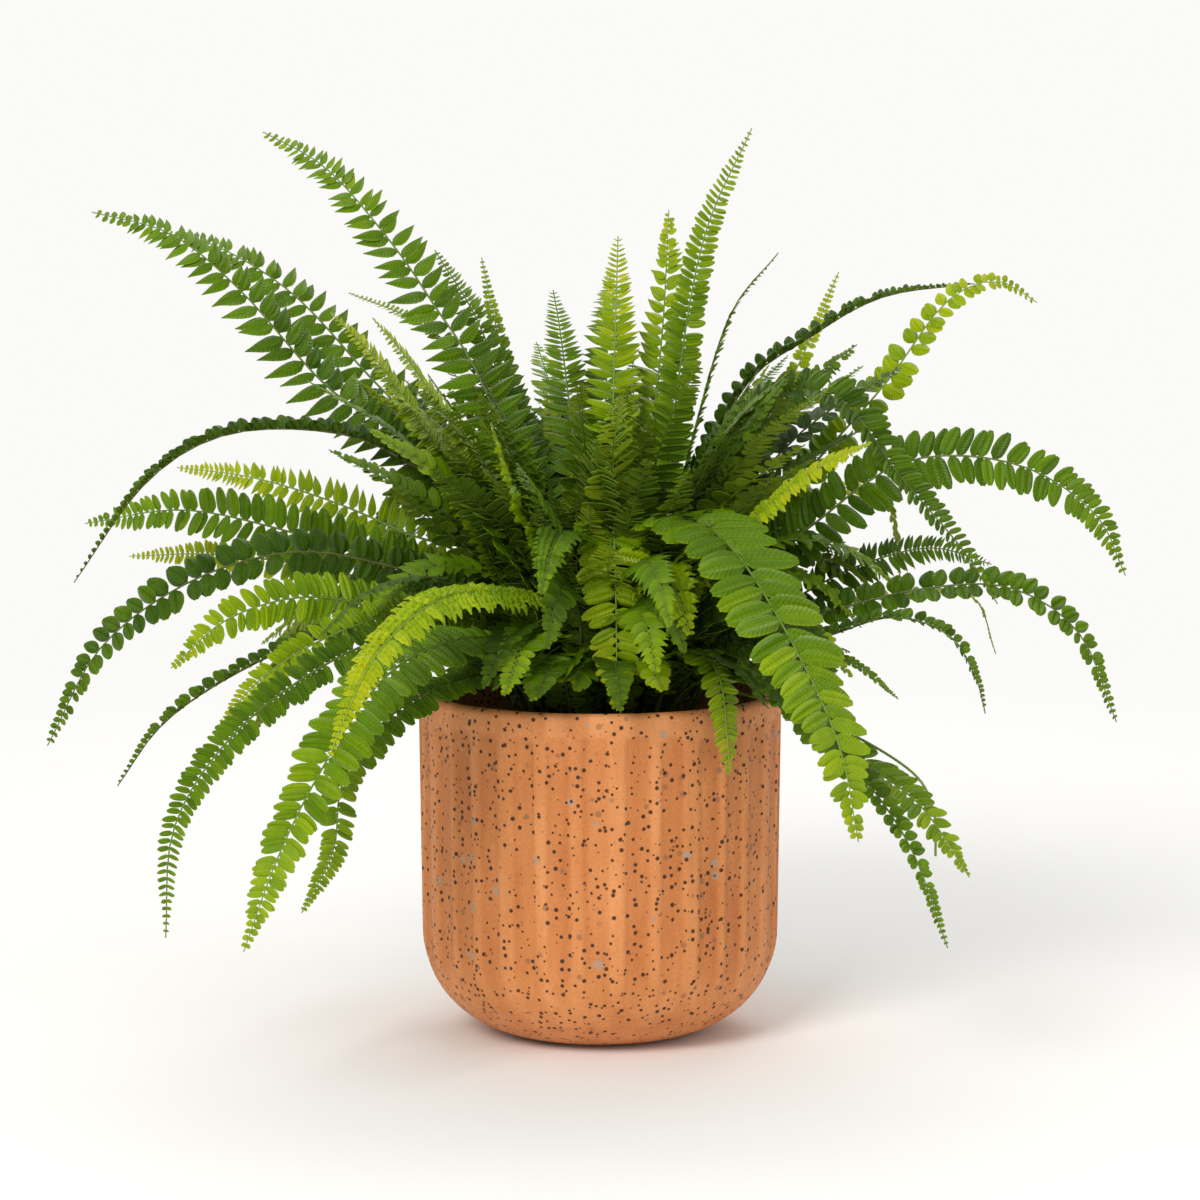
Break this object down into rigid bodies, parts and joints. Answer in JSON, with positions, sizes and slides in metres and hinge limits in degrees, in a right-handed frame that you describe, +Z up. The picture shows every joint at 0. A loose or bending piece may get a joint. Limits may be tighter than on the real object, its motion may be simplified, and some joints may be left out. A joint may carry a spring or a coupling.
{
  "type": "potted fern",
  "caption": "Sword fern with arching fronds of paired leaflets, growing from a crown in soil in a fluted, round-bottomed speckled stoneware pot.",
  "frame": {"origin": "middle of the pot's flat base, on the surface that it stands on", "axes": "+Z up, -Y towards the viewer, +X to the viewer's right"},
  "size_m": [0.5273, 0.4516, 0.4499],
  "materials": {
    "stoneware": "unglazed, speckled",
    "earth": "matte",
    "rhizome": "matte",
    "wiry_stem": "matte",
    "leaf": "satin"
  },
  "bodies": {
    "root": {"pot": "stoneware", "potting_soil": "earth", "crown": "rhizome", "runner": "wiry_stem", "frond_left_tall": "leaf", "frond_left_high": "leaf", "frond_left_high_back": "leaf", "frond_left_young_1": "leaf", "frond_left_young_2": "leaf", "frond_left_wiry": "leaf", "frond_left_arch": "leaf", "frond_left_pale": "leaf", "frond_left_broad": "leaf", "frond_left_pale_low": "leaf", "frond_left_long": "leaf", "frond_left_mid": "leaf", "frond_left_thin": "leaf", "frond_left_pale_front": "leaf", "frond_left_drooping": "leaf", "frond_front_left_large": "leaf", "frond_front_left_bright": "leaf", "frond_front_left_small": "leaf", "frond_front_left_rim": "leaf", "frond_centre_feather": "leaf", "frond_centre_left_small": "leaf", "frond_centre_left": "leaf", "frond_centre_pale": "leaf", "frond_centre_tall": "leaf", "frond_centre_tallest": "leaf", "frond_right_spiky": "leaf", "frond_front_centre": "leaf", "frond_front_upright": "leaf", "frond_front_curled": "leaf", "frond_front_dark": "leaf", "frond_right_arch": "leaf", "frond_right_bright": "leaf", "frond_right_wiry": "leaf", "frond_right_long": "leaf", "frond_right_dark": "leaf", "frond_right_crimped": "leaf", "frond_right_hanging": "leaf", "frond_right_narrow": "leaf", "frond_right_low": "leaf", "frond_right_hanging_low": "leaf", "frond_right_thin": "leaf", "frond_right_tiny": "leaf", "frond_front_right_large": "leaf", "frond_front_right_low": "leaf", "frond_front_right_dark": "leaf", "frond_front_right_rim": "leaf", "frond_back_tall": "leaf", "frond_back_left_arch": "leaf", "frond_back_left_low": "leaf", "frond_back_left_rim": "leaf", "frond_back_middle_arch": "leaf", "frond_back_middle_low": "leaf", "frond_back_right_arch": "leaf", "frond_back_right_low": "leaf"}
  },
  "joints": []
}
